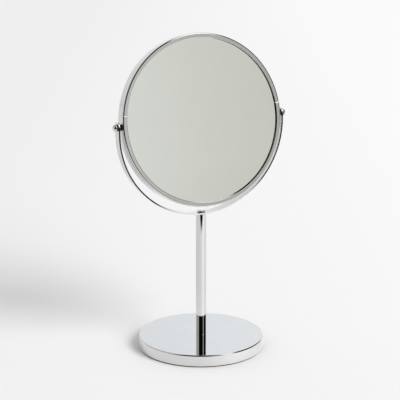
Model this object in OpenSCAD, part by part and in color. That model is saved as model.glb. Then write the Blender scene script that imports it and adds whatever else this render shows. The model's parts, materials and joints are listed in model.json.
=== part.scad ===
// Double-sided magnifying table mirror on a round weighted base.
// Sizes are millimetres. The origin is the centre of the underside, with +Z up.
// X runs along the tilting axis, and the flat glass faces -Y.

/* [Base] */
// Outer diameter of the base cover
base_d = 132.2; // [110:0.2:180]
// Height from the table to the flat top of the base
base_h = 13.2; // [10:0.1:20]
// Sheet thickness of the base cover
base_wall = 0.8; // [0.5:0.1:1.1]
// Radius of the rounded top edge of the base cover
base_edge_r = 1.5; // [1.2:0.1:2.5]
// Thickness of the soft pad under the base
pad_t = 2; // [1.2:0.1:2.8]
// How far the pad stands below the lower edge of the cover
pad_proud = 1.3; // [0.3:0.1:1.4]
// Space between the cover's side and the ballast disc
weight_gap = 0.3; // [0.1:0.1:1.5]

/* [Base bolt] */
// Diameter of the bolt that holds the stem on the base
bolt_d = 5; // [4:0.5:5.5]
// Diameter of the bolt's head
bolt_head_d = 9.5; // [8:0.5:11]
// Height of the bolt's head, with its dome
bolt_head_h = 2.8; // [2:0.1:3.5]
// Height of the dome on the bolt's head
bolt_dome_h = 0.9; // [0.4:0.1:1.4]
// Diameter of the washer under the bolt's head
bolt_washer_d = 12; // [11:0.5:16]
// Thickness of the washer under the bolt's head
bolt_washer_t = 1; // [0.6:0.1:1.4]

/* [Stem] */
// Outer diameter of the stem tube
stem_d = 10.8; // [9.8:0.1:16]
// Wall of the stem tube
stem_wall = 1; // [0.6:0.1:1.3]
// Length of the stem between the base and the yoke
stem_len = 132.8; // [80:0.1:220]
// Length of the threaded plug in each end of the stem
plug_len = 14; // [10:0.5:24]
// Length of a plug's thread that stays free beyond its bolt
plug_spare = 3.5; // [1:0.5:5]

/* [Yoke] */
// Width of the strip that the yoke is bent from
strip_w = 10; // [8:0.5:12]
// Thickness of the strip
strip_t = 1.6; // [1:0.1:2.5]
// Radius of the strip's softened edges
strip_edge_r = 0.15; // [0.1:0.05:0.45]
// Space between the rim and the inner face of the yoke at the pivots
yoke_gap = 2.4; // [1.5:0.1:5]
// How far the centre of the half-round bend lies below the tilting axis
yoke_drop = 6.4; // [4:0.1:12]
// How far the yoke's ends reach above the tilting axis
yoke_end = 5.5; // [5:0.1:9]
// Diameter of the screw that holds the yoke on the stem
yoke_screw_d = 4; // [3:0.5:5]
// Diameter of the yoke screw's head
yoke_screw_head_d = 7.8; // [7:0.1:9]
// Height of the yoke screw's head, with its dome
yoke_screw_head_h = 1.9; // [1.4:0.1:3]
// Height of the dome on the yoke screw's head
yoke_screw_dome_h = 0.6; // [0.3:0.1:1]
// Diameter of the washer under the yoke screw's head
yoke_washer_d = 8.4; // [7.8:0.1:9]
// Thickness of that washer
yoke_washer_t = 0.5; // [0.3:0.1:0.8]

/* [Mirror head] */
// Diameter of both glasses
glass_d = 170; // [120:1:220]
// Thickness of the flat glass
flat_glass_t = 2.5; // [2:0.1:3]
// Thickness of the magnifying glass
magnifier_t = 2; // [1.6:0.1:2.6]
// Depth of the magnifying glass's hollow at its centre
magnifier_dish = 4; // [2:0.1:4.5]
// Depth of the rim from its front face to its back face
rim_depth = 14; // [13.2:0.1:20]
// Thickness of the rim's lips, in front of each glass
lip_t = 2; // [1.4:0.1:2.3]
// How far the lips reach over the glass
lip_overlap = 0.8; // [0.6:0.1:4]
// Radius of the lips' inner edges
lip_edge_r = 0.5; // [0.4:0.1:1.4]
// Thickness of the rim's outer wall
rim_wall = 1.2; // [0.8:0.1:2]
// Radius of the rim's outer edges
rim_edge_r = 1.5; // [0.6:0.1:2]
// Space between the edge of the glass and the rim's outer wall
edge_room = 2.8; // [2.8:0.1:5]
// Height of the rim's seams above the tilting axis
seam_h = 11.7; // [11.2:0.1:25]
// Width of the seams
seam_gap = 0.3; // [0.1:0.1:0.6]
// Lean of the mirror head, with its top to the back
head_tilt = 9.6; // [-30:0.1:30]

/* [Glass seat] */
// Width of the carrier ring's web between the glasses
carrier_web = 4; // [2:0.5:10]
// Space around the glasses inside the carrier ring
glass_gap = 0.2; // [0.1:0.05:0.25]
// Chamfer on the carrier ring's outer edges
carrier_bevel = 0.6; // [0.3:0.1:1]
// Thickness of the foam disc between the glasses, before the magnifying glass presses into it
foam_t = 3; // [2:0.5:4]
// Distance of the foam disc's edge from the inside of the carrier ring
foam_inset = 1; // [0.5:0.5:20]
// Room beside the nuts and tongues in the carrier ring's notches
notch_room = 0.8; // [0.3:0.1:2]
// Length of the tongues that join the rim's two arcs
clip_len = 11; // [6:0.5:11.5]
// Width of those tongues
clip_w = 8; // [4:0.5:8]
// Thickness of those tongues
clip_t = 0.7; // [0.5:0.1:1.2]

/* [Pivots] */
// Diameter of the pivot screws
pivot_d = 4; // [3:0.5:5]
// Diameter of the pivot screws' round heads
pivot_head_d = 7.6; // [6.4:0.1:12]
// Height of those heads, with their dome
pivot_head_h = 3.3; // [2.2:0.1:6]
// Height of the dome on each head
pivot_dome_h = 1.9; // [0.4:0.1:2.1]
// Diameter of the washers between heads and yoke
pivot_washer_d = 6.8; // [6.2:0.1:8]
// Thickness of those washers
pivot_washer_t = 1.2; // [0.3:0.1:2]
// Diameter of the spacer bushes between yoke and rim
spacer_d = 6.6; // [6.2:0.1:9]
// Width across the flats of the nuts inside the rim
nut_af = 7; // [6.4:0.1:7.5]
// Thickness of those nuts
nut_t = 2.2; // [1.6:0.1:2.2]

/* [Clearances] */
// Running clearance of a pivot screw in the yoke, on the radius
running_gap = 0.05; // [0.02:0.01:0.08]
// Side play of the yoke between spacer and washer, on each side
side_play = 0.12; // [0.05:0.01:0.3]
// Clearance of a thread or a pressed plug, on the radius
thread_gap = 0.03; // [0.01:0.01:0.05]
// Clearance of a bolt in a plain hole, on the radius
hole_gap = 0.25; // [0.1:0.05:0.5]
// Slack beside a loosely held piece
slack = 0.1; // [0.02:0.01:0.15]
// Clearance of a nut's corners in the hollow of the rim
nut_gap = 0.02; // [0.01:0.01:0.05]

/* [Hidden] */
$fn = 96;
// Segments of the wide rings, and of the glasses' shallow curves
ring_fn = 240;
arc_fn = 720;
// How far a cut runs past the faces that it cuts
over = 1;
base_r = base_d / 2;
stem_r = stem_d / 2;
stem_in_r = stem_r - stem_wall;
glass_r = glass_d / 2;
lip_r = glass_r - lip_overlap;
rim_in_r = glass_r + edge_room;
rim_r = rim_in_r + rim_wall;
rim_half = rim_depth / 2;
seat_z = rim_half - lip_t;

// The yoke's faces and the heights that follow from them
yoke_in_r = rim_r + yoke_gap;
yoke_out_r = yoke_in_r + strip_t;
yoke_z = base_h + stem_len;
bend_z = yoke_z + yoke_out_r;
pivot_z = bend_z + yoke_drop;

// Places of the base's inner pieces
weight_top = base_h - base_wall;
bolt_seat_z = pad_t + bolt_head_h + bolt_washer_t + slack;
bolt_head_z = bolt_seat_z - bolt_washer_t;
bolt_end_z = base_h + plug_len - plug_spare;

// The yoke screw's washer rests with its edge on the yoke's hollow face
yoke_washer_z = bend_z - sqrt(pow(yoke_in_r, 2) - pow(yoke_washer_d / 2, 2));
yoke_screw_head_z = yoke_washer_z + yoke_washer_t;
yoke_screw_end_z = yoke_z - plug_len + plug_spare;

// The magnifying glass is a slice between two spheres with one centre
magnifier_r = (pow(glass_r, 2) + pow(magnifier_dish, 2)) / (2 * magnifier_dish);
magnifier_z = -seat_z + magnifier_dish - magnifier_r;
magnifier_back_z = magnifier_z + magnifier_r + magnifier_t;
flat_back_z = seat_z - flat_glass_t;

// Angles round the rim, measured up from the tilting axis
seam_a = asin(seam_h / rim_r);
seam_half_a = atan(seam_gap / 2 / rim_r);
clip_half_a = atan(clip_len / 2 / rim_in_r);

// The pivots' pieces along the tilting axis
nut_corner = nut_af / 2 / cos(30);
nut_out = sqrt(pow(rim_in_r - nut_gap, 2) - pow(nut_corner, 2));
nut_in = nut_out - nut_t;
pivot_washer_x = yoke_out_r + side_play;
pivot_head_x = pivot_washer_x + pivot_washer_t;
notch_low_a = -atan((nut_corner + notch_room) / rim_in_r);
notch_high_a = seam_a + clip_half_a + atan(notch_room / rim_in_r);

// A rectangle from the origin with four round corners
module rounded_rect(w, h, r) {
    translate([r, 0]) square([w - 2 * r, h]);
    translate([0, r]) square([w, h - 2 * r]);
    for (x = [r, w - r], y = [r, h - r])
        translate([x, y]) circle(r = r);
}

// A disc of height h with a round upper edge
module round_top_disc(r, h, edge) {
    rotate_extrude() {
        square([r - edge, h]);
        square([r, h - edge]);
        translate([r - edge, h - edge]) circle(r = edge);
    }
}

// A round head with a shallow dome, standing on its flat underside
module domed_head(d, h, dome) {
    ball_r = (pow(d / 2, 2) + pow(dome, 2)) / (2 * dome);
    rotate_extrude() intersection() {
        square([d / 2, h]);
        translate([0, h - ball_r]) circle(r = ball_r, $fn = arc_fn / 2);
    }
}

// A flat ring, drawn up from its underside
module flat_ring(d, bore_r, t) {
    difference() {
        cylinder(r = d / 2, h = t);
        translate([0, 0, -over]) cylinder(r = bore_r, h = t + 2 * over);
    }
}

// The head's own frame: x along the tilting axis, y up, z out of the flat glass
module in_head() {
    translate([0, 0, pivot_z]) rotate([90 - head_tilt, 0, 0]) children();
}

// Turns a piece drawn up along z to point outward along the tilting axis
module on_pivot(side, x) {
    in_head() mirror([side < 0 ? 1 : 0, 0, 0]) translate([x, 0, 0]) rotate([0, 90, 0]) children();
}

// The space inside the yoke's bend, as a cylinder across the strip
module inside_bend(r) {
    translate([0, 0, bend_z]) rotate([90, 0, 0])
        cylinder(r = r, h = stem_d + 2 * over, center = true, $fn = ring_fn);
}

module foot_pad() {
    color([0.13, 0.13, 0.14])
        cylinder(r = base_r - base_wall - weight_gap, h = pad_t);
}

module base_weight() {
    color([0.35, 0.35, 0.36]) difference() {
        translate([0, 0, pad_t])
            round_top_disc(base_r - base_wall - weight_gap, weight_top - pad_t, base_edge_r);
        cylinder(r = bolt_d / 2 + hole_gap, h = base_h);
        translate([0, 0, pad_t - over])
            cylinder(r = bolt_washer_d / 2 + hole_gap, h = bolt_seat_z - pad_t + over);
    }
}

module base_shell() {
    color([0.86, 0.88, 0.89]) difference() {
        translate([0, 0, pad_proud])
            round_top_disc(base_r, base_h - pad_proud, base_edge_r);
        round_top_disc(base_r - base_wall, weight_top, base_edge_r - base_wall);
        cylinder(r = bolt_d / 2 + hole_gap, h = base_h + over);
    }
}

module base_bolt() {
    color([0.6, 0.61, 0.62]) {
        translate([0, 0, bolt_head_z]) mirror([0, 0, 1])
            domed_head(bolt_head_d, bolt_head_h, bolt_dome_h);
        translate([0, 0, bolt_head_z - bolt_head_h / 2])
            cylinder(r = bolt_d / 2, h = bolt_end_z - bolt_head_z + bolt_head_h / 2);
    }
}

module base_washer() {
    color([0.6, 0.61, 0.62]) translate([0, 0, bolt_head_z])
        flat_ring(bolt_washer_d, bolt_d / 2 + hole_gap, bolt_washer_t);
}

module stem_tube() {
    color([0.86, 0.88, 0.89]) difference() {
        translate([0, 0, base_h]) cylinder(r = stem_r, h = stem_len + over);
        translate([0, 0, base_h - over]) cylinder(r = stem_in_r, h = stem_len + 3 * over);
        inside_bend(yoke_out_r);
    }
}

module stem_foot_plug() {
    color([0.6, 0.61, 0.62]) translate([0, 0, base_h])
        flat_ring(2 * (stem_in_r - thread_gap), bolt_d / 2 + thread_gap, plug_len);
}

module stem_top_plug() {
    color([0.6, 0.61, 0.62]) difference() {
        translate([0, 0, yoke_z - plug_len])
            flat_ring(2 * (stem_in_r - thread_gap), yoke_screw_d / 2 + thread_gap, plug_len + over);
        inside_bend(yoke_out_r);
    }
}

// The strip's cross-section, with its inner face at the given radius
module strip_section() {
    translate([yoke_in_r, -strip_w / 2]) rounded_rect(strip_t, strip_w, strip_edge_r);
}

// The outline that rounds the tops of the yoke's ends, seen along the tilting axis
module end_outline() {
    round_y = yoke_drop + yoke_end - strip_w / 2;
    translate([-strip_w / 2 - over, -over]) square([strip_w + 2 * over, round_y + over]);
    translate([0, round_y]) circle(r = strip_w / 2);
}

module yoke() {
    color([0.86, 0.88, 0.89]) difference() {
        union() {
            translate([0, 0, bend_z]) rotate([90, 0, 0]) rotate([0, 0, 180])
                rotate_extrude(angle = 180, $fn = ring_fn) strip_section();
            for (side = [0, 1]) translate([0, 0, bend_z]) mirror([side, 0, 0]) intersection() {
                linear_extrude(height = yoke_drop + yoke_end) strip_section();
                rotate([90, 0, 90]) linear_extrude(height = yoke_out_r + over) end_outline();
            }
        }
        translate([0, 0, pivot_z]) rotate([0, 90, 0])
            cylinder(r = pivot_d / 2 + running_gap, h = 2 * (yoke_out_r + over), center = true);
        translate([0, 0, yoke_z - over])
            cylinder(r = yoke_screw_d / 2 + hole_gap, h = strip_t + 3 * over);
    }
}

module yoke_washer() {
    color([0.6, 0.61, 0.62]) translate([0, 0, yoke_washer_z])
        flat_ring(yoke_washer_d, yoke_screw_d / 2 + hole_gap, yoke_washer_t);
}

module yoke_screw() {
    color([0.86, 0.88, 0.89]) {
        translate([0, 0, yoke_screw_head_z])
            domed_head(yoke_screw_head_d, yoke_screw_head_h, yoke_screw_dome_h);
        translate([0, 0, yoke_screw_end_z]) cylinder(r = yoke_screw_d / 2,
            h = yoke_screw_head_z + yoke_screw_head_h / 2 - yoke_screw_end_z);
    }
}

// The rim's cross-section: an open channel with round edges, its lips towards the axis
module rim_section() {
    w = rim_r - lip_r;
    translate([lip_r, -rim_half]) difference() {
        union() {
            intersection() {
                rounded_rect(w, rim_depth, lip_edge_r);
                square([w / 2, rim_depth]);
            }
            intersection() {
                rounded_rect(w, rim_depth, rim_edge_r);
                translate([w / 2, 0]) square([w / 2, rim_depth]);
            }
        }
        translate([-over, lip_t]) square([w - rim_wall + over, rim_depth - 2 * lip_t]);
    }
}

// An arc of the rim from one angle to another, measured up from the tilting axis
module rim_arc(from, to) {
    rotate([0, 0, from]) rotate_extrude(angle = to - from, $fn = ring_fn) rim_section();
}

module rim_lower() {
    color([0.82, 0.84, 0.85]) in_head() difference() {
        rim_arc(180 - seam_a + seam_half_a, 360 + seam_a - seam_half_a);
        rotate([0, 90, 0])
            cylinder(r = pivot_d / 2 + hole_gap / 2, h = 2 * (rim_r + over), center = true);
    }
}

module rim_upper() {
    color([0.88, 0.9, 0.91]) in_head() rim_arc(seam_a + seam_half_a, 180 - seam_a - seam_half_a);
}

module front_glass() {
    color([0.8, 0.82, 0.79]) in_head() translate([0, 0, flat_back_z])
        cylinder(r = glass_r, h = flat_glass_t, $fn = ring_fn);
}

module back_glass() {
    color([0.8, 0.82, 0.79]) in_head() rotate_extrude($fn = ring_fn) intersection() {
        translate([0, magnifier_z]) difference() {
            circle(r = magnifier_r + magnifier_t, $fn = arc_fn);
            circle(r = magnifier_r, $fn = arc_fn);
        }
        translate([0, -rim_half]) square([glass_r, rim_depth]);
    }
}

// The ring that centres the glasses, with room for the nuts and tongues at the sides
module glass_carrier() {
    inner_r = glass_r + glass_gap;
    outer_r = rim_in_r - slack;
    flange_z = seat_z - slack;
    bevel = carrier_bevel;
    color([0.93, 0.93, 0.92]) in_head() difference() {
        rotate_extrude($fn = ring_fn) difference() {
            union() {
                translate([glass_r - carrier_web, bevel - flange_z])
                    square([carrier_web + 2 * glass_gap, flat_back_z + flange_z - bevel]);
                polygon([[inner_r, -flange_z], [outer_r - bevel, -flange_z],
                    [outer_r, -flange_z + bevel], [outer_r, flange_z - bevel],
                    [outer_r - bevel, flange_z], [inner_r, flange_z]]);
            }
            intersection() {
                translate([0, magnifier_z]) circle(r = magnifier_r + magnifier_t + slack, $fn = arc_fn);
                translate([0, -rim_depth]) square([inner_r, 2 * rim_depth]);
            }
        }
        for (side = [0, 1]) mirror([side, 0, 0]) rotate([0, 0, notch_low_a])
            rotate_extrude(angle = notch_high_a - notch_low_a, $fn = ring_fn)
                translate([glass_r + glass_gap / 2, -rim_half]) square([edge_room, rim_depth]);
    }
}

// The foam lies on the flat glass's back, and the magnifying glass presses its hollow
module backing_pad() {
    color([0.25, 0.25, 0.26]) in_head() rotate_extrude($fn = ring_fn) difference() {
        translate([0, flat_back_z - foam_t]) square([glass_r - carrier_web - foam_inset, foam_t]);
        translate([0, magnifier_z]) circle(r = magnifier_r + magnifier_t + slack, $fn = arc_fn);
    }
}

module seam_clip(side) {
    color([0.6, 0.61, 0.62]) in_head() mirror([side < 0 ? 1 : 0, 0, 0])
        rotate([0, 0, seam_a - clip_half_a]) rotate_extrude(angle = 2 * clip_half_a, $fn = ring_fn)
            translate([rim_in_r - slack - clip_t, -clip_w / 2]) square([clip_t, clip_w]);
}

module pivot_screw(side) {
    end_x = nut_in - slack;
    color([0.86, 0.88, 0.89]) {
        on_pivot(side, pivot_head_x) domed_head(pivot_head_d, pivot_head_h, pivot_dome_h);
        on_pivot(side, end_x) cylinder(r = pivot_d / 2, h = pivot_head_x + pivot_head_h / 2 - end_x);
    }
}

module pivot_washer(side) {
    color([0.12, 0.12, 0.12]) on_pivot(side, pivot_washer_x)
        flat_ring(pivot_washer_d, pivot_d / 2 + running_gap, pivot_washer_t);
}

module pivot_spacer(side) {
    color([0.12, 0.12, 0.12]) on_pivot(side, rim_r)
        flat_ring(spacer_d, pivot_d / 2 + running_gap, yoke_gap - side_play);
}

module pivot_nut(side) {
    color([0.6, 0.61, 0.62]) on_pivot(side, nut_in) difference() {
        rotate([0, 0, 90]) cylinder(r = nut_corner, h = nut_t, $fn = 6);
        translate([0, 0, -over]) cylinder(r = pivot_d / 2 + thread_gap, h = nut_t + 2 * over);
    }
}

foot_pad();
base_weight();
base_shell();
base_bolt();
base_washer();
stem_tube();
stem_foot_plug();
stem_top_plug();
yoke();
yoke_screw();
yoke_washer();
rim_lower();
rim_upper();
front_glass();
back_glass();
glass_carrier();
backing_pad();
seam_clip(-1);  // seam_clip_left
seam_clip(1);  // seam_clip_right
pivot_screw(-1);  // pivot_screw_left
pivot_screw(1);  // pivot_screw_right
pivot_washer(-1);  // pivot_washer_left
pivot_washer(1);  // pivot_washer_right
pivot_spacer(-1);  // pivot_spacer_left
pivot_spacer(1);  // pivot_spacer_right
pivot_nut(-1);  // pivot_nut_left
pivot_nut(1);  // pivot_nut_right
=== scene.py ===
# Double-sided table mirror in polished chrome: finish, fine meshes, studio and camera.
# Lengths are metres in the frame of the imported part: X along the tilting axis, +Z up, flat glass to -Y.
import json
import math
import bmesh
import bpy
from mathutils import Matrix, Vector


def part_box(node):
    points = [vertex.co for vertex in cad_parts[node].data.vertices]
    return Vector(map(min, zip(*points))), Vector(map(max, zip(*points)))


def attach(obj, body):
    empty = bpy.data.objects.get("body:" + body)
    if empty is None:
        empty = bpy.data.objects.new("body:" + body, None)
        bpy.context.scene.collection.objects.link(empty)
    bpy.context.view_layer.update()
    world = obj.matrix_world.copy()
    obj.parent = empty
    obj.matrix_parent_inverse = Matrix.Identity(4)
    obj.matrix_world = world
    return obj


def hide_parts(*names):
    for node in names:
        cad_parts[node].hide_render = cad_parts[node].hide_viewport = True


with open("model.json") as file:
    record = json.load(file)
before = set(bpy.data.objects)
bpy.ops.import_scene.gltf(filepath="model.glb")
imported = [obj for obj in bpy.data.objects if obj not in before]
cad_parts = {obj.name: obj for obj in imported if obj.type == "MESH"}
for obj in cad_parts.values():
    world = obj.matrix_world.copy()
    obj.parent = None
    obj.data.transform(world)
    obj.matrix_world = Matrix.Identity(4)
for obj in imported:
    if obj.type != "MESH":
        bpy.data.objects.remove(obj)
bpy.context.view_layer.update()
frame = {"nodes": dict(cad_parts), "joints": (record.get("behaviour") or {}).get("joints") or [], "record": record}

MM = 0.001

# Slacks round plugs, in the pieces that run on the pivot screws, and in the rim's holes for them
PLUG_GAP = 0.03 * MM
RUNNING_GAP = 0.05 * MM
RIM_HOLE_GAP = 0.125 * MM

# Sizes read from the frame
BASE_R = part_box("base_shell")[1].x
BASE_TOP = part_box("base_shell")[1].z
SHELL_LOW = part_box("base_shell")[0].z
PAD_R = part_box("foot_pad")[1].x
PAD_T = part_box("foot_pad")[1].z
STEM_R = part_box("stem_tube")[1].x
STEM_IN_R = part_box("stem_top_plug")[1].x + PLUG_GAP
YOKE_OUT_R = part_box("yoke")[1].x
YOKE_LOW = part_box("yoke")[0].z
YOKE_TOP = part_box("yoke")[1].z
STRIP_HALF_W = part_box("yoke")[1].y
PIVOT = Vector(frame["joints"][0]["pos_m"])
RIM_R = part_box("rim_lower")[1].x
GLASS_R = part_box("front_glass")[1].x
SPACER_OUT_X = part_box("pivot_spacer_right")[1].x
SPACER_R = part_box("pivot_spacer_right")[1].y
WASHER_IN_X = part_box("pivot_washer_right")[0].x
WASHER_OUT_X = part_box("pivot_washer_right")[1].x
WASHER_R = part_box("pivot_washer_right")[1].y
SCREW_OUT_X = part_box("pivot_screw_right")[1].x
SCREW_IN_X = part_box("pivot_screw_right")[0].x
SCREW_HEAD_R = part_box("pivot_screw_right")[1].y

# Sizes of the pressed, bent and turned pieces that their boxes don't give
EDGE_BREAK = 0.12 * MM
PAD_LOW_EDGE_R = 0.35 * MM
PAD_TOP_EDGE_R = 0.2 * MM
SHELL_WALL = 0.8 * MM
SHELL_EDGE_R = 1.5 * MM
SHELL_LOW_EDGE_R = SHELL_WALL * 0.3
SHELL_HOLE_R = 2.75 * MM
STEM_EDGE_R = 0.4 * MM
STRIP_T = 1.6 * MM
STRIP_EDGE_R = 0.15 * MM
YOKE_IN_R = YOKE_OUT_R - STRIP_T
YOKE_TIP_Z = YOKE_TOP - STRIP_HALF_W
BEND_Z = YOKE_LOW + YOKE_OUT_R
YOKE_HOLE_R = 2.25 * MM
YOKE_SCREW_R = 2 * MM
YOKE_SCREW_DOME = 0.6 * MM
SCREW_TIP_R = 0.3 * MM
PIVOT_R = 2 * MM
PIVOT_DOME = 1.9 * MM
BUSH_EDGE_R = 0.25 * MM
HEAD_TILT = math.radians(9.6)
RIM_DEPTH = 14 * MM
RIM_WALL = 1.2 * MM
RIM_EDGE_R = 1.5 * MM
LIP_T = 2 * MM
LIP_OVERLAP = 0.8 * MM
LIP_R = GLASS_R - LIP_OVERLAP
LIP_EDGE_R = 0.5 * MM
SEAT_Z = RIM_DEPTH / 2 - LIP_T
FLAT_GLASS_T = 2.5 * MM
FLAT_GLASS_BEVEL = 0.4 * MM
MAGNIFIER_T = 2 * MM
MAGNIFIER_DISH = 4 * MM

# The rim's two seams: height above the pivots and gap, and both as angles round the head's middle
SEAM_H = 11.7 * MM
SEAM_GAP = 0.3 * MM
SEAM_ANGLE = math.asin(SEAM_H / RIM_R)
SEAM_HALF_GAP = math.atan(SEAM_GAP / 2 / RIM_R)
# The lips slope down to each seam: length and steepness on the lower and on the upper arc, and the
# distance over which a slope starts and ends
SEAM_SLOPE_LOWER = (0.6 * MM, math.tan(math.radians(22)))
SEAM_SLOPE_UPPER = (0.3 * MM, 1)
SEAM_SOFT = 0.06 * MM

# How far a drill goes past the pivots, and to each side of the yoke's lowest point
DRILL_PAST = 1 * MM
DRILL_DEPTH = 3 * MM

# Segments of a full turn for the large pieces, the stem and the small pieces
FINE = 640
STEM_ROUND = 128
ROUND = 96

# Steps across a rounded corner, the magnifying glass and a screw's dome
CORNER_STEPS = 6
DISH_STEPS = 24
DOME_STEPS = 14

# Points closer than this become one, and edges shorter than this go
WELD_DISTANCE = 1e-7
SHORTEST_EDGE = 1e-8

# Where nearly all values of a noise lie
NOISE_SPAN = (0.3, 0.7)

# The head's own frame: x along the tilting axis, y up, z out of the flat glass
HEAD = Matrix.Translation(PIVOT) @ Matrix.Rotation(math.pi / 2 - HEAD_TILT, 4, "X")
# Lays a z axis along the tilting axis
ALONG_PIVOTS = Matrix.Rotation(math.pi / 2, 4, "Y")


# Mesh helpers

def fillet(before, corner, after, radius):
    """Points of an arc that rounds a corner of an outline."""
    if radius <= 0:
        return [corner.copy()]
    to_before = (before - corner).normalized()
    to_after = (after - corner).normalized()
    half = to_before.angle(to_after) / 2
    reach = radius / math.tan(half)
    centre = corner + (to_before + to_after).normalized() * (radius / math.sin(half))
    start = corner + to_before * reach - centre
    end = corner + to_after * reach - centre
    turn = start.angle_signed(end)
    points = []
    for i in range(CORNER_STEPS + 1):
        angle = -turn * i / CORNER_STEPS
        c, s = math.cos(angle), math.sin(angle)
        points.append(centre + Vector((start.x * c - start.y * s, start.x * s + start.y * c)))
    return points


def outline(corners, closed=True):
    """An outline from (x, y, corner radius) triples; an open one keeps its first and last point sharp."""
    places = [Vector((x, y)) for x, y, _ in corners]
    points = []
    for i, (_, _, radius) in enumerate(corners):
        if not closed and i in (0, len(corners) - 1):
            points.append(places[i])
        else:
            after = places[(i + 1) % len(places)]
            points += fillet(places[i - 1], places[i], after, radius)
    return points


def finish_mesh(name, mesh):
    """A smooth-shaded object from a bmesh, welded and with its normals outward."""
    bmesh.ops.remove_doubles(mesh, verts=mesh.verts, dist=WELD_DISTANCE)
    bmesh.ops.dissolve_degenerate(mesh, edges=mesh.edges, dist=SHORTEST_EDGE)
    bmesh.ops.recalc_face_normals(mesh, faces=mesh.faces)
    data = bpy.data.meshes.new(name)
    mesh.to_mesh(data)
    mesh.free()
    data.polygons.foreach_set("use_smooth", [True] * len(data.polygons))
    piece = bpy.data.objects.new(name, data)
    bpy.context.scene.collection.objects.link(piece)
    return piece


def loft(name, rings, closed_ring=True, loop=False, capped=False):
    """A mesh through rings of points, joined end to end or capped; points that fall together become one."""
    mesh = bmesh.new()
    rows = [[mesh.verts.new(p) for p in ring] for ring in rings]
    count = len(rings[0])
    around = range(count if closed_ring else count - 1)
    for i in range(len(rows) if loop else len(rows) - 1):
        row, next_row = rows[i], rows[(i + 1) % len(rows)]
        for j in around:
            k = (j + 1) % count
            mesh.faces.new((row[j], row[k], next_row[k], next_row[j]))
    if capped:
        mesh.faces.new(rows[0][::-1])
        mesh.faces.new(rows[-1])
    return finish_mesh(name, mesh)


def revolve(name, points, place=Matrix.Identity(4), segments=FINE, closed=True):
    """A solid turned round the z axis of a place, from an outline of (radius, height)."""
    rings = []
    for i in range(segments):
        angle = 2 * math.pi * i / segments
        c, s = math.cos(angle), math.sin(angle)
        rings.append([place @ Vector((p.x * c, p.x * s, p.y)) for p in points])
    return loft(name, rings, closed_ring=closed, loop=True)


def turn_solid(name, corners, place=Matrix.Identity(4), segments=FINE):
    """A solid without a bore: the outline of its corners starts and ends on the z axis of its place."""
    return revolve(name, outline(corners, closed=False), place, segments, closed=False)


def drill(piece, place, radius, length):
    """Cuts a round hole along the z axis of a place, length to each side of it."""
    cutter = turn_solid("cutter", [(0, -length, 0), (radius, -length, 0), (radius, length, 0),
                                   (0, length, 0)], place, ROUND)
    cut = piece.modifiers.new("hole", "BOOLEAN")
    cut.operation = "DIFFERENCE"
    cut.solver = "EXACT"
    cut.object = cutter
    made = piece.evaluated_get(bpy.context.evaluated_depsgraph_get())
    data = bpy.data.meshes.new_from_object(made)
    piece.modifiers.clear()
    piece.data = data
    bpy.data.objects.remove(cutter)
    return piece


def even_normals(piece):
    """Keeps the flat and the straight faces true beside their rounded edges."""
    weigh = piece.modifiers.new("weighted normals", "WEIGHTED_NORMAL")
    weigh.mode = "FACE_AREA"
    weigh.weight = 90
    weigh.keep_sharp = False


def at_height(z):
    """A place on the stand's axis."""
    return Matrix.Translation(Vector((0, 0, z)))


def place_on_pivot(side, x):
    """A place on the tilting axis, with its z axis pointing outward on that side."""
    turn = Matrix.Rotation(math.pi / 2 * side, 4, "Y")
    return HEAD @ Matrix.Translation(Vector((side * x, 0, 0))) @ turn


def domed(head_r, head_h, dome, shank_r, shank_len):
    """The outline of a screw with a domed round head; height 0 is the underside of the head."""
    ball_r = (head_r ** 2 + dome ** 2) / (2 * dome)
    reach = math.asin(head_r / ball_r)
    points = outline([(0, -shank_len, 0), (shank_r, -shank_len, SCREW_TIP_R), (shank_r, 0, 0),
                      (head_r, 0, EDGE_BREAK), (head_r, head_h - dome, 0)], closed=False)
    for i in range(DOME_STEPS, -1, -1):
        angle = reach * i / DOME_STEPS
        points.append(Vector((ball_r * math.sin(angle), head_h - ball_r + ball_r * math.cos(angle))))
    return points


def make_ring(name, place, bore_r, outer_r, height, edge):
    """A washer or a bush with softened edges, standing on its place."""
    points = outline([
        (bore_r, 0, edge), (outer_r, 0, edge), (outer_r, height, edge), (bore_r, height, edge)])
    return revolve(name, points, place, ROUND)


# Pieces of the stand

def make_foot_pad():
    """The soft disc that the mirror stands on."""
    return turn_solid("foot_pad_disc", [
        (0, 0, 0), (PAD_R, 0, PAD_LOW_EDGE_R), (PAD_R, PAD_T, PAD_TOP_EDGE_R), (0, PAD_T, 0)])


def make_base_shell():
    """The pressed cover of the base, open below."""
    inner_r = BASE_R - SHELL_WALL
    inner_top = BASE_TOP - SHELL_WALL
    points = outline([
        (SHELL_HOLE_R, inner_top, EDGE_BREAK), (inner_r, inner_top, SHELL_EDGE_R - SHELL_WALL),
        (inner_r, SHELL_LOW, SHELL_LOW_EDGE_R), (BASE_R, SHELL_LOW, SHELL_LOW_EDGE_R),
        (BASE_R, BASE_TOP, SHELL_EDGE_R), (SHELL_HOLE_R, BASE_TOP, EDGE_BREAK)])
    return revolve("base_cover", points)


def make_stem():
    """The tube; its upper end is hollowed to the yoke's curve."""
    points = outline([
        (STEM_IN_R, BASE_TOP, EDGE_BREAK), (STEM_R, BASE_TOP, STEM_EDGE_R),
        (STEM_R, YOKE_LOW, EDGE_BREAK), (STEM_IN_R, YOKE_LOW, EDGE_BREAK)])
    stem = revolve("stem_column", points, segments=STEM_ROUND)
    for v in stem.data.vertices:
        if v.co.z > (BASE_TOP + YOKE_LOW) / 2:
            v.co.z += YOKE_OUT_R - math.sqrt(YOKE_OUT_R ** 2 - v.co.x ** 2)
    return stem


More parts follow.
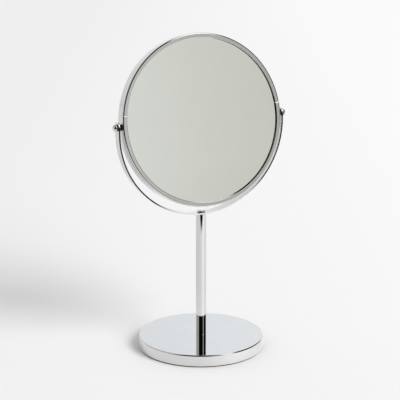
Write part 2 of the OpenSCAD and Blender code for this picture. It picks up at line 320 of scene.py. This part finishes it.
def bent_strip(half_section):
    """The strip's cross-section led along a straight side, a half circle and the other straight side."""
    section = half_section + [Vector((p.x, -p.y)) for p in reversed(half_section[1:-1])]
    rings = [[Vector((-p.x, p.y, YOKE_TIP_Z)) for p in section]]
    steps = FINE // 2
    for i in range(steps + 1):
        angle = math.pi * i / steps
        c, s = math.cos(angle), math.sin(angle)
        rings.append([Vector((-p.x * c, p.y, BEND_Z - p.x * s)) for p in section])
    rings.append([Vector((p.x, p.y, YOKE_TIP_Z)) for p in section])
    return loft("yoke_part", rings)


def strip_end(half_section, side):
    """The half disc that ends the strip on one side."""
    steps = ROUND // 2
    rings = []
    for i in range(steps + 1):
        angle = math.pi * i / steps
        c, s = math.cos(angle), math.sin(angle)
        rings.append([Vector((side * p.x, p.y * c, YOKE_TIP_Z + p.y * s)) for p in half_section])
    return loft("yoke_part", rings, closed_ring=False)


def make_yoke():
    """The bent strip with its two round ends, the pivots' holes and the hole of its fixing screw."""
    half_section = outline([
        (YOKE_IN_R, 0, 0), (YOKE_IN_R, STRIP_HALF_W, STRIP_EDGE_R),
        (YOKE_OUT_R, STRIP_HALF_W, STRIP_EDGE_R), (YOKE_OUT_R, 0, 0)], closed=False)
    mesh = bmesh.new()
    for part in (bent_strip(half_section), strip_end(half_section, -1), strip_end(half_section, 1)):
        mesh.from_mesh(part.data)
        bpy.data.objects.remove(part)
    yoke = finish_mesh("yoke_strip", mesh)
    drill(yoke, Matrix.Translation(PIVOT) @ ALONG_PIVOTS, PIVOT_R + RUNNING_GAP, YOKE_OUT_R + DRILL_PAST)
    return drill(yoke, at_height(YOKE_LOW), YOKE_HOLE_R, DRILL_DEPTH)


def make_yoke_screw():
    """The screw that holds the yoke down on the stem."""
    low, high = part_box("yoke_screw")
    washer_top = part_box("yoke_washer")[1].z
    points = domed(high.x, high.z - washer_top, YOKE_SCREW_DOME, YOKE_SCREW_R, washer_top - low.z)
    return revolve("yoke_fixing_screw", points, at_height(washer_top), ROUND, closed=False)


def make_yoke_washer():
    """The washer under that screw's head."""
    low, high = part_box("yoke_washer")
    return make_ring("yoke_fixing_washer", at_height(low.z), YOKE_HOLE_R, high.x, high.z - low.z,
                     EDGE_BREAK)


# Pieces of the head

def rim_outline():
    """The channel of the rim: lips towards the axis, round outer edges, as (radius, height)."""
    half = RIM_DEPTH / 2
    wall_in = RIM_R - RIM_WALL
    return outline([
        (LIP_R, SEAT_Z, EDGE_BREAK), (LIP_R, half, LIP_EDGE_R), (RIM_R, half, RIM_EDGE_R),
        (RIM_R, -half, RIM_EDGE_R), (LIP_R, -half, LIP_EDGE_R), (LIP_R, -SEAT_Z, EDGE_BREAK),
        (wall_in, -SEAT_Z, EDGE_BREAK), (wall_in, SEAT_Z, EDGE_BREAK)])


def thin_lips(points, drop):
    """The rim's outline with the outer faces of both lips lowered by a distance."""
    moved = []
    for p in points:
        above = abs(p.y) - SEAT_Z
        if above > 0:
            p = Vector((p.x, math.copysign(SEAT_Z + above * (1 - drop / LIP_T), p.y)))
        moved.append(p)
    return moved


def rim_arc(name, start, end, length, slope):
    """An arc of the rim between two angles from the right-hand pivot; its lips slope down to its ends."""
    points = rim_outline()
    # Angles in from an end with the lips' drop there; the slope starts and ends softly
    slope_steps = [
        (0, length * slope + SEAM_SOFT),
        (SEAM_SOFT / RIM_R, (length - SEAM_SOFT) * slope),
        ((length - SEAM_SOFT) / RIM_R, SEAM_SOFT * slope),
        ((length + SEAM_SOFT) / RIM_R, 0),
    ]
    sloped = slope_steps[-1][0]
    level = end - start - 2 * sloped
    steps = round(FINE * (end - start) / (2 * math.pi))
    stations = [(start + inward, drop) for inward, drop in slope_steps]
    stations += [(start + sloped + level * i / steps, 0) for i in range(1, steps)]
    stations += [(end - inward, drop) for inward, drop in reversed(slope_steps)]
    rings = []
    for angle, drop in stations:
        c, s = math.cos(angle), math.sin(angle)
        rings.append([HEAD @ Vector((p.x * c, p.x * s, p.y)) for p in thin_lips(points, drop)])
    return loft(name, rings, capped=True)


def make_rim_lower():
    """The longer arc, which carries the pivots."""
    start = math.pi - SEAM_ANGLE + SEAM_HALF_GAP
    end = 2 * math.pi + SEAM_ANGLE - SEAM_HALF_GAP
    arc = rim_arc("rim_arc_lower", start, end, *SEAM_SLOPE_LOWER)
    return drill(arc, HEAD @ ALONG_PIVOTS, PIVOT_R + RIM_HOLE_GAP, RIM_R + DRILL_PAST)


def make_rim_upper():
    """The arc above the seams."""
    start = SEAM_ANGLE + SEAM_HALF_GAP
    end = math.pi - SEAM_ANGLE - SEAM_HALF_GAP
    return rim_arc("rim_arc_upper", start, end, *SEAM_SLOPE_UPPER)


def make_front_glass():
    """The flat glass, which lies against the front lip."""
    back = SEAT_Z - FLAT_GLASS_T
    return turn_solid("flat_mirror", [
        (0, back, 0), (GLASS_R, back, FLAT_GLASS_BEVEL), (GLASS_R, SEAT_Z, FLAT_GLASS_BEVEL),
        (0, SEAT_Z, 0)], HEAD)


def make_back_glass():
    """A slice between two spheres with one centre; its hollow side faces away from the flat glass."""
    hollow_r = (GLASS_R ** 2 + MAGNIFIER_DISH ** 2) / (2 * MAGNIFIER_DISH)
    centre_z = -SEAT_Z + MAGNIFIER_DISH - hollow_r
    outward, inward = range(DISH_STEPS + 1), range(DISH_STEPS, -1, -1)
    points = []
    for radius, order in ((hollow_r, outward), (hollow_r + MAGNIFIER_T, inward)):
        edge = math.asin(GLASS_R / radius)
        for i in order:
            angle = edge * i / DISH_STEPS
            points.append(Vector((radius * math.sin(angle), centre_z + radius * math.cos(angle))))
    return revolve("magnifying_mirror", points, HEAD, closed=False)


def make_pivot_screw(name, side):
    """A pivot screw with its domed head outside the yoke; side is -1 for left and 1 for right."""
    points = domed(SCREW_HEAD_R, SCREW_OUT_X - WASHER_OUT_X, PIVOT_DOME, PIVOT_R, WASHER_OUT_X - SCREW_IN_X)
    return revolve(name, points, place_on_pivot(side, WASHER_OUT_X), ROUND, closed=False)


def make_pivot_bush(name, side):
    """The spacer between the rim and the yoke."""
    return make_ring(name, place_on_pivot(side, RIM_R), PIVOT_R + RUNNING_GAP, SPACER_R,
                     SPACER_OUT_X - RIM_R, BUSH_EDGE_R)


def make_pivot_washer(name, side):
    """The washer between the yoke and the pivot screw's head."""
    return make_ring(name, place_on_pivot(side, WASHER_IN_X), PIVOT_R + RUNNING_GAP, WASHER_R,
                     WASHER_OUT_X - WASHER_IN_X, EDGE_BREAK)


# Node helpers

def set_inputs(node, values):
    """Sets input sockets by their names."""
    for name, value in values.items():
        node.inputs[name].default_value = value


def feed(links, socket, value):
    """Links an output to an input socket, or sets the socket to a fixed value."""
    if isinstance(value, bpy.types.NodeSocket):
        links.new(value, socket)
    else:
        socket.default_value = value


def noise(nodes, links, scale, detail, roughness=0.5):
    """A noise that is fixed to the object's own coordinates."""
    place = nodes.new("ShaderNodeTexCoord")
    texture = nodes.new("ShaderNodeTexNoise")
    set_inputs(texture, {"Scale": scale, "Detail": detail, "Roughness": roughness})
    links.new(place.outputs["Object"], texture.inputs["Vector"])
    return texture.outputs["Fac"]


def ramp(nodes, links, factor, stops):
    """A colour ramp with (position, colour) stops."""
    node = nodes.new("ShaderNodeValToRGB")
    elements = node.color_ramp.elements
    while len(elements) < len(stops):
        elements.new(0.5)
    for element, (position, colour) in zip(elements, stops):
        element.position = position
        element.color = (*colour, 1)
    links.new(factor, node.inputs["Fac"])
    return node.outputs["Color"]


def map_range(nodes, links, value, from_low, from_high, to_low, to_high):
    """Maps one range of a value onto another and stays within it."""
    node = nodes.new("ShaderNodeMapRange")
    set_inputs(node, {"From Min": from_low, "From Max": from_high, "To Min": to_low, "To Max": to_high})
    links.new(value, node.inputs["Value"])
    return node.outputs["Result"]


def spread(nodes, links, factor, low, high):
    """Maps a noise, which keeps near 0.5, onto values between low and high."""
    return map_range(nodes, links, factor, *NOISE_SPAN, low, high)


def bump(nodes, links, height, distance, shader, strength=1.0):
    """Raises a shader's surface by a height's share of a distance in metres."""
    node = nodes.new("ShaderNodeBump")
    set_inputs(node, {"Distance": distance, "Strength": strength})
    links.new(height, node.inputs["Height"])
    links.new(node.outputs["Normal"], shader.inputs["Normal"])


def scalar(nodes, links, operation, *values):
    """A Math node; each value is a number or a socket."""
    node = nodes.new("ShaderNodeMath")
    node.operation = operation
    for socket, value in zip(node.inputs, values):
        feed(links, socket, value)
    return node.outputs["Value"]


def vector_math(nodes, links, operation, vector):
    """A Vector Math node on a socket's vector."""
    node = nodes.new("ShaderNodeVectorMath")
    node.operation = operation
    links.new(vector, node.inputs[0])
    return node


def towards(nodes, links, vector, heading):
    """How far a vector reaches along a fixed heading."""
    node = vector_math(nodes, links, "DOT_PRODUCT", vector)
    node.inputs[1].default_value = heading
    return node.outputs["Value"]


def mix_colours(nodes, links, factor, first, second):
    """Goes from the first colour to the second; each is a socket or (red, green, blue, 1)."""
    node = nodes.new("ShaderNodeMix")
    node.data_type = "RGBA"
    links.new(factor, node.inputs["Factor"])
    feed(links, node.inputs["A"], first)
    feed(links, node.inputs["B"], second)
    return node.outputs["Result"]


def mix_shaders(nodes, links, factor, first, second):
    """Goes from the first shader to the second."""
    node = nodes.new("ShaderNodeMixShader")
    links.new(factor, node.inputs["Fac"])
    links.new(first, node.inputs[1])
    links.new(second, node.inputs[2])
    return node.outputs["Shader"]


def emission(nodes, colour):
    """A shader that gives off a colour of its own."""
    node = nodes.new("ShaderNodeEmission")
    node.inputs["Color"].default_value = (*colour, 1)
    return node


# Materials of the pieces

def new_material(name):
    """A material with its nodes, its links and its main shader."""
    material = bpy.data.materials.new(name)
    material.use_nodes = True
    nodes = material.node_tree.nodes
    return material, nodes, material.node_tree.links, nodes["Principled BSDF"]


def chrome():
    """Polished plating: a faint ripple, and a haze that comes and goes."""
    material, nodes, links, shader = new_material("chrome_plate")
    shader.inputs["Metallic"].default_value = 1
    tone = noise(nodes, links, scale=60, detail=4)
    links.new(ramp(nodes, links, tone, [(0.3, (0.61, 0.61, 0.605)), (0.7, (0.63, 0.63, 0.625))]),
              shader.inputs["Base Color"])
    haze = noise(nodes, links, scale=140, detail=5)
    links.new(spread(nodes, links, haze, low=0.015, high=0.05), shader.inputs["Roughness"])
    bump(nodes, links, noise(nodes, links, scale=45, detail=2), 0.004 * MM, shader)
    return material


def mirror(name, tint):
    """Silvered glass: the silver's tint under a clear front surface, with the least haze of dust."""
    material, nodes, links, shader = new_material(name)
    set_inputs(shader, {"Metallic": 1, "Coat Weight": 1, "Coat IOR": 1.52, "Coat Roughness": 0})
    dust = noise(nodes, links, scale=90, detail=6, roughness=0.6)
    dusty = tuple(c * 0.985 for c in tint)
    links.new(ramp(nodes, links, dust, [(0.35, dusty), (0.65, tint)]), shader.inputs["Base Color"])
    haze = noise(nodes, links, scale=35, detail=4)
    links.new(spread(nodes, links, haze, low=0.0, high=0.012), shader.inputs["Roughness"])
    return material


def foam(name, colour, cell):
    """Closed-cell foam: fine cells as bump, with a mottled tone."""
    material, nodes, links, shader = new_material(name)
    place = nodes.new("ShaderNodeTexCoord")
    cells = nodes.new("ShaderNodeTexVoronoi")
    cells.inputs["Scale"].default_value = 1 / cell
    links.new(place.outputs["Object"], cells.inputs["Vector"])
    light = tuple(c * 1.5 for c in colour)
    tone = noise(nodes, links, scale=400, detail=4)
    links.new(ramp(nodes, links, tone, [(0.35, colour), (0.65, light)]), shader.inputs["Base Color"])
    shader.inputs["Roughness"].default_value = 0.9
    bump(nodes, links, cells.outputs["Distance"], cell * 0.4, shader, strength=0.8)
    return material


def plated_steel():
    """Zinc-plated steel with turning marks' haze and a slight yellow cast in places."""
    material, nodes, links, shader = new_material("zinc_plated_steel")
    shader.inputs["Metallic"].default_value = 1
    tone = noise(nodes, links, scale=220, detail=5)
    links.new(ramp(nodes, links, tone, [(0.3, (0.42, 0.43, 0.44)), (0.7, (0.56, 0.55, 0.52))]),
              shader.inputs["Base Color"])
    haze = noise(nodes, links, scale=600, detail=4)
    links.new(spread(nodes, links, haze, low=0.22, high=0.38), shader.inputs["Roughness"])
    bump(nodes, links, noise(nodes, links, scale=900, detail=3), 0.01 * MM, shader)
    return material


def cast_iron():
    """Rough grey casting with pits."""
    material, nodes, links, shader = new_material("cast_ballast")
    shader.inputs["Metallic"].default_value = 0.6
    tone = noise(nodes, links, scale=160, detail=6)
    links.new(ramp(nodes, links, tone, [(0.3, (0.03, 0.03, 0.032)), (0.7, (0.075, 0.07, 0.066))]),
              shader.inputs["Base Color"])
    haze = noise(nodes, links, scale=320, detail=4)
    links.new(spread(nodes, links, haze, low=0.5, high=0.75), shader.inputs["Roughness"])
    bump(nodes, links, noise(nodes, links, scale=700, detail=6, roughness=0.7), 0.2 * MM, shader)
    return material


def plastic(name, colour, grain):
    """Moulded plastic with a fine matt grain."""
    material, nodes, links, shader = new_material(name)
    warm = (colour[0], colour[1] * 0.985, colour[2] * 0.95)
    tone = noise(nodes, links, scale=120, detail=3)
    links.new(ramp(nodes, links, tone, [(0.35, colour), (0.65, warm)]), shader.inputs["Base Color"])
    haze = noise(nodes, links, scale=500, detail=3)
    links.new(spread(nodes, links, haze, low=0.38, high=0.5), shader.inputs["Roughness"])
    shader.inputs["Subsurface Weight"].default_value = 0.05
    bump(nodes, links, noise(nodes, links, scale=grain, detail=4), 0.03 * MM, shader)
    return material


MATERIALS = {
    "chrome": chrome(),
    "mirror_flat": mirror("flat_mirror_glass", (0.87, 0.89, 0.85)),
    "mirror_magnifying": mirror("magnifying_mirror_glass", (0.86, 0.88, 0.84)),
    "plated_steel": plated_steel(),
    "ballast": cast_iron(),
    "foot_foam": foam("foot_foam_black", (0.008, 0.008, 0.009), 0.5 * MM),
    "pad_foam": foam("pad_foam_grey", (0.05, 0.05, 0.053), 0.8 * MM),
    "carrier_plastic": plastic("carrier_white_plastic", (0.78, 0.78, 0.75), 1500),
    "washer_plastic": plastic("washer_black_nylon", (0.012, 0.012, 0.012), 2500),
}


# Assembly

def set_material(piece, slot):
    """Gives a mesh the one material of a slot."""
    piece.data.materials.clear()
    piece.data.materials.append(MATERIALS[slot])


def add_piece(piece, body, slot, *nodes):
    """A fine mesh that stands for its CAD nodes, on their body and with their finish."""
    even_normals(piece)
    set_material(piece, slot)
    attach(piece, body)
    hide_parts(*nodes)


def build_stand():
    """The pieces that stay still."""
    add_piece(make_foot_pad(), "stand", "foot_foam", "foot_pad")
    add_piece(make_base_shell(), "stand", "chrome", "base_shell")
    add_piece(make_stem(), "stand", "chrome", "stem_tube")
    add_piece(make_yoke(), "stand", "chrome", "yoke")
    add_piece(make_yoke_screw(), "stand", "chrome", "yoke_screw")
    add_piece(make_yoke_washer(), "stand", "plated_steel", "yoke_washer")


def build_head():
    """The pieces that tilt."""
    add_piece(make_rim_lower(), "head", "chrome", "rim_lower")
    add_piece(make_rim_upper(), "head", "chrome", "rim_upper")
    add_piece(make_front_glass(), "head", "mirror_flat", "front_glass")
    add_piece(make_back_glass(), "head", "mirror_magnifying", "back_glass")
    for side, word in ((-1, "left"), (1, "right")):
        screw = make_pivot_screw(f"pivot_bolt_{word}", side)
        add_piece(screw, "head", "chrome", f"pivot_screw_{word}")
        bush = make_pivot_bush(f"pivot_bush_{word}", side)
        add_piece(bush, "head", "washer_plastic", f"pivot_spacer_{word}")
        washer = make_pivot_washer(f"pivot_shim_{word}", side)
        add_piece(washer, "head", "washer_plastic", f"pivot_washer_{word}")


def dress_carried_nodes():
    """The CAD nodes that stay shown take the procedural finish of their own slot."""
    for row in frame["record"]["subparts"]:
        node = frame["nodes"][row["node"]]
        if not node.hide_render:
            set_material(node, row["material_slot"])


# Studio

# The camera: where it stands from the point that it looks at, its lens and its sensor's width
VIEW_AZIMUTH = math.radians(-25.37)
VIEW_ELEVATION = math.radians(14.95)
VIEW_DISTANCE = 1.4683
VIEW_TARGET = Vector((-0.001, 0.0005, 0.1604))
LENS_MM = 126.9
SENSOR_MM = 36

# The soft lamps: name, azimuth from the camera, elevation and width in degrees, strength
LAMPS = [
    ("key", 54, 40, 28, 1.5),
    ("side_panel", 42, 25, 30, 0.8),
]

# The white table: painted shade to the left and painted light to the right, standing in for the key light's
# fall-off across it, and how far out they are reached
TABLE_HALF_WIDTH = 8
TABLE_DARK = 0.875
TABLE_PALE = 0.965
TABLE_FADE_REACH = 0.35

# The table as reflected: its dark front edge runs to a corner on the right
TABLE_EDGE_AZIMUTH = VIEW_AZIMUTH + math.radians(8)
TABLE_EDGE_DISTANCE = 0.452
TABLE_EDGE_SOFTNESS = 0.05
TABLE_EDGE_COLOUR = (0.004, 0.004, 0.004)
TABLE_CORNER_AZIMUTH = VIEW_AZIMUTH + math.radians(62)

# The table as reflected: a gleam that peaks towards the key light, and more of it near the base
GLEAM_COLOUR = (1, 0.99, 0.98)
GLEAM_AZIMUTH = VIEW_AZIMUTH + math.radians(48)
GLEAM_SHARPNESS = 4
GLEAM_LOW = 0.06
GLEAM_HIGH = 0.36
GLEAM_NEAR = 0.07
GLEAM_NEAR_REACH = (0.1, 0.2)

# What lights matt surfaces from all round, and what the camera sees behind the table
FILL_STRENGTH = 0.575
BACKDROP = (0.92, 0.92, 0.92)

# What the chrome sees round it: colours at azimuths from the camera, in degrees
BLACK = (0.005, 0.005, 0.005)
GREY = (0.66, 0.66, 0.66)
BACK_WALLS_LEFT = [
    (-180, (1.08, 1.115, 1.15)),
    (-176, (1.01, 1.05, 1.09)),
    (-150, (0.92, 0.94, 0.955)),
    (-126, (0.9, 0.915, 0.93)),
    (-123, GREY),
]
BACK_WALLS_RIGHT = [
    (64, BLACK),
    (136, BLACK),
    (141, (0.98, 1.0, 1.02)),
    (176, (1.11, 1.145, 1.18)),
    (180, (1.08, 1.115, 1.15)),
]
LOW_WALLS = BACK_WALLS_LEFT + [
    (-63, GREY),
    (-60, BLACK),
    (22, BLACK),
    (25, (0.79, 0.8, 0.785)),
    (46, (0.765, 0.775, 0.755)),
    (54, (0.63, 0.62, 0.585)),
    (62, (0.57, 0.56, 0.52)),
] + BACK_WALLS_RIGHT
HIGH_WALLS = BACK_WALLS_LEFT + [
    (-53, GREY),
    (-50, BLACK),
    (42, BLACK),
    (45, (0.72, 0.71, 0.68)),
    (62, (0.57, 0.56, 0.52)),
] + BACK_WALLS_RIGHT

# Elevations in degrees over which the low walls give way to the high ones, the shade of the lowest
# panels ends, and the black ceiling begins
WALLS_CHANGE = (8, 12)
LOW_SHADE = 0.86
LOW_SHADE_ENDS = (-4, 4)
CEILING_BEGINS = (69, 75)

# Round soft boxes: azimuth from the camera, elevation and radius in degrees, brightness
SOFT_BOXES = [
    (84, 65, 15, 1.35),
    (57, 42, 12, 2.6),
]
SOFT_BOX_BLUR = 0.2


def direction(azimuth, elevation):
    """A unit vector away from the object: azimuth 0 is -Y, 90 degrees is +X."""
    flat = math.cos(elevation)
    return Vector((math.sin(azimuth) * flat, -math.cos(azimuth) * flat, math.sin(elevation)))


def from_camera(azimuth, elevation):
    """The same in degrees, with the azimuth counted from the camera's."""
    return direction(VIEW_AZIMUTH + math.radians(azimuth), math.radians(elevation))


def add_facing(thing, away):
    """Adds a camera or lamp to the scene, turned back along the direction in which it stands."""
    thing.rotation_euler = (-away).to_track_quat("-Z", "Y").to_euler()
    bpy.context.scene.collection.objects.link(thing)


def make_camera():
    """The photo's viewpoint."""
    data = bpy.data.cameras.new("camera")
    data.lens = LENS_MM
    data.sensor_width = SENSOR_MM
    camera = bpy.data.objects.new("camera", data)
    away = direction(VIEW_AZIMUTH, VIEW_ELEVATION)
    camera.location = VIEW_TARGET + away * VIEW_DISTANCE
    add_facing(camera, away)
    bpy.context.scene.camera = camera


def make_lamps():
    """Wide suns that light the table and don't show in the chrome."""
    for name, azimuth, elevation, width, strength in LAMPS:
        data = bpy.data.lights.new(name, "SUN")
        data.angle = math.radians(width)
        data.energy = strength
        light = bpy.data.objects.new(name, data)
        away = from_camera(azimuth, elevation)
        light.location = away
        light.visible_glossy = False
        light.visible_camera = False
        add_facing(light, away)


def table_white_painted_paler_right(nodes, links, place):
    """The table's white with painted light: a little paler to the right, where the key light falls more strongly.
    """
    to_right = towards(nodes, links, place, direction(VIEW_AZIMUTH + math.pi / 2, 0))
    across = map_range(nodes, links, to_right, -TABLE_FADE_REACH, TABLE_FADE_REACH, 0, 1)
    return ramp(nodes, links, across, [(0, (TABLE_DARK,) * 3), (1, (TABLE_PALE,) * 3)])


def table_gleam(nodes, links, place):
    """How strongly the reflected table gleams at a place."""
    heading = vector_math(nodes, links, "NORMALIZE", place).outputs["Vector"]
    facing = towards(nodes, links, heading, direction(GLEAM_AZIMUTH, 0))
    peak = scalar(nodes, links, "POWER", scalar(nodes, links, "MAXIMUM", facing, 0), GLEAM_SHARPNESS)
    sheen = map_range(nodes, links, peak, 0, 1, GLEAM_LOW, GLEAM_HIGH)
    distance = vector_math(nodes, links, "LENGTH", place).outputs["Value"]
    near = map_range(nodes, links, distance, *GLEAM_NEAR_REACH, GLEAM_NEAR, 0)
    return scalar(nodes, links, "ADD", sheen, near)


def table_end(nodes, links, place):
    """1 past the reflected table's front edge, as far as its corner, and 0 elsewhere."""
    ahead = towards(nodes, links, place, direction(TABLE_EDGE_AZIMUTH, 0))
    beyond = map_range(nodes, links, ahead, TABLE_EDGE_DISTANCE - TABLE_EDGE_SOFTNESS / 2,
                       TABLE_EDGE_DISTANCE + TABLE_EDGE_SOFTNESS / 2, 0, 1)
    before_corner = towards(nodes, links, place, direction(TABLE_CORNER_AZIMUTH - math.pi / 2, 0))
    in_front = scalar(nodes, links, "GREATER_THAN", before_corner, 0)
    return scalar(nodes, links, "MULTIPLY", beyond, in_front)


def table_material():
    """White table; in reflections it gleams and is black past its front edge."""
    material, nodes, links, shader = new_material("white_table")
    set_inputs(shader, {"Roughness": 0.9, "Specular IOR Level": 0})
    place = nodes.new("ShaderNodeNewGeometry").outputs["Position"]
    # Painted light and shade: the base colour runs from darker on the left to paler on the right, for the key
    # light's fall-off.
    links.new(table_white_painted_paler_right(nodes, links, place), shader.inputs["Base Color"])
    bump(nodes, links, noise(nodes, links, scale=60, detail=3), 0.02 * MM, shader)
    gleam = emission(nodes, GLEAM_COLOUR)
    links.new(table_gleam(nodes, links, place), gleam.inputs["Strength"])
    lit = nodes.new("ShaderNodeAddShader")
    links.new(shader.outputs["BSDF"], lit.inputs[0])
    links.new(gleam.outputs["Emission"], lit.inputs[1])
    dark = emission(nodes, TABLE_EDGE_COLOUR)
    mirrored = mix_shaders(nodes, links, table_end(nodes, links, place), lit.outputs["Shader"],
                           dark.outputs["Emission"])
    light_path = nodes.new("ShaderNodeLightPath")
    surface = mix_shaders(nodes, links, light_path.outputs["Is Glossy Ray"], shader.outputs["BSDF"],
                          mirrored)
    links.new(surface, nodes["Material Output"].inputs["Surface"])
    return material


def make_table():
    """The table top, a plain sheet at height 0."""
    mesh = bmesh.new()
    bmesh.ops.create_grid(mesh, x_segments=1, y_segments=1, size=TABLE_HALF_WIDTH)
    data = bpy.data.meshes.new("table_top")
    mesh.to_mesh(data)
    mesh.free()
    table = bpy.data.objects.new("table_top", data)
    data.materials.append(table_material())
    bpy.context.scene.collection.objects.link(table)


def by_elevation(nodes, links, rise, span, below, above):
    """Goes from one value to another over a span of elevations in degrees; rise is the vector's z."""
    low, high = (math.sin(math.radians(degrees)) for degrees in span)
    return map_range(nodes, links, rise, low, high, below, above)


def wall_colours(nodes, links, parts):
    """The tall panels round the horizon, from the x, y and z of a direction."""
    ahead = scalar(nodes, links, "MULTIPLY", parts["Y"], -1)
    azimuth = scalar(nodes, links, "ARCTAN2", parts["X"], ahead)
    off_view = scalar(nodes, links, "SUBTRACT", azimuth, VIEW_AZIMUTH)
    wrapped = scalar(nodes, links, "WRAP", off_view, math.pi, -math.pi)
    share = map_range(nodes, links, wrapped, -math.pi, math.pi, 0, 1)
    low, high = (ramp(nodes, links, share, [((degrees + 180) / 360, colour) for degrees, colour in walls])
                 for walls in (LOW_WALLS, HIGH_WALLS))
    walls = mix_colours(nodes, links, by_elevation(nodes, links, parts["Z"], WALLS_CHANGE, 0, 1), low, high)
    shade = by_elevation(nodes, links, parts["Z"], LOW_SHADE_ENDS, LOW_SHADE, 1)
    under_ceiling = by_elevation(nodes, links, parts["Z"], CEILING_BEGINS, 1, 0)
    room = vector_math(nodes, links, "SCALE", walls)
    links.new(scalar(nodes, links, "MULTIPLY", shade, under_ceiling), room.inputs["Scale"])
    return room.outputs["Vector"]


def surroundings_colour(nodes, links):
    """The studio as reflected: the panels, and two round soft boxes with blurred edges over them."""
    outward = nodes.new("ShaderNodeTexCoord").outputs["Generated"]
    parts = nodes.new("ShaderNodeSeparateXYZ")
    links.new(outward, parts.inputs[0])
    seen = wall_colours(nodes, links, parts.outputs)
    for azimuth, elevation, radius, brightness in SOFT_BOXES:
        nearness = towards(nodes, links, outward, from_camera(azimuth, elevation))
        outer = math.cos(math.radians(radius * (1 + SOFT_BOX_BLUR)))
        inner = math.cos(math.radians(radius * (1 - SOFT_BOX_BLUR)))
        inside = map_range(nodes, links, nearness, outer, inner, 0, 1)
        seen = mix_colours(nodes, links, inside, seen, (brightness, brightness, brightness, 1))
    return seen


def make_world():
    """An even fill light, the backdrop for the camera, and the studio for all that mirrors it."""
    world = bpy.data.worlds.new("studio")
    world.use_nodes = True
    bpy.context.scene.world = world
    nodes, links = world.node_tree.nodes, world.node_tree.links
    fill = nodes["Background"]
    set_inputs(fill, {"Color": (1, 1, 1, 1), "Strength": FILL_STRENGTH})
    backdrop = nodes.new("ShaderNodeBackground")
    backdrop.inputs["Color"].default_value = (*BACKDROP, 1)
    mirrored = nodes.new("ShaderNodeBackground")
    links.new(surroundings_colour(nodes, links), mirrored.inputs["Color"])
    light_path = nodes.new("ShaderNodeLightPath")
    unseen = mix_shaders(nodes, links, light_path.outputs["Is Glossy Ray"], fill.outputs["Background"],
                         mirrored.outputs["Background"])
    surface = mix_shaders(nodes, links, light_path.outputs["Is Camera Ray"], unseen,
                          backdrop.outputs["Background"])
    links.new(surface, nodes["World Output"].inputs["Surface"])


make_camera()
make_lamps()
make_table()
make_world()
build_stand()
build_head()
dress_carried_nodes()
bpy.context.scene.view_settings.view_transform = "Standard"
